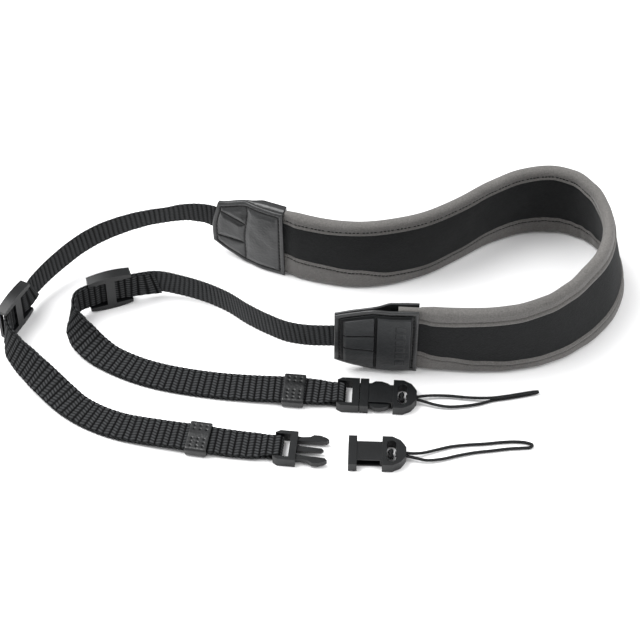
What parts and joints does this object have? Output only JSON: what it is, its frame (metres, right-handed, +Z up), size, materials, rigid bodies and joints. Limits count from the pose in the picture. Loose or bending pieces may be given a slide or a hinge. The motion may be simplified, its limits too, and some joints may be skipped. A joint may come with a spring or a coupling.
{
  "type": "camera neck strap",
  "caption": "Padded camera neck strap: soft neck band with leather end tabs, narrow webbing with sliders and keepers, clip buckles and thin cord loops.",
  "frame": {"origin": "on the surface that the strap lies on, under the middle of its bounding box", "axes": "+X along the longest extent, from the sliders towards the bend of the neck band; +Y from the clips towards the back run; +Z up"},
  "size_m": [0.271, 0.137, 0.0407],
  "materials": {
    "jersey": "matt",
    "border": "matt",
    "leather": "soft sheen",
    "label": "satin",
    "webbing": "woven",
    "plastic": "satin",
    "cord": "braided"
  },
  "bodies": {
    "root": {"pad_core": "jersey", "pad_border_upper": "border", "pad_border_lower": "border", "tab_back_inner_leather": "leather", "tab_back_outer_leather": "leather", "tab_back_label": "label", "tab_front_inner_leather": "leather", "tab_front_outer_leather": "leather", "tab_front_label": "label", "webbing_front": "webbing", "webbing_back": "webbing", "slider_front": "plastic", "slider_back": "plastic", "keeper_front": "leather", "keeper_back": "leather", "clip_front_socket": "plastic", "clip_front_plug": "plastic", "clip_back_socket": "plastic", "clip_back_plug": "plastic", "cord_loop_front": "cord", "cord_loop_back": "cord", "cord_knot_front": "cord", "cord_knot_back": "cord"}
  },
  "joints": []
}
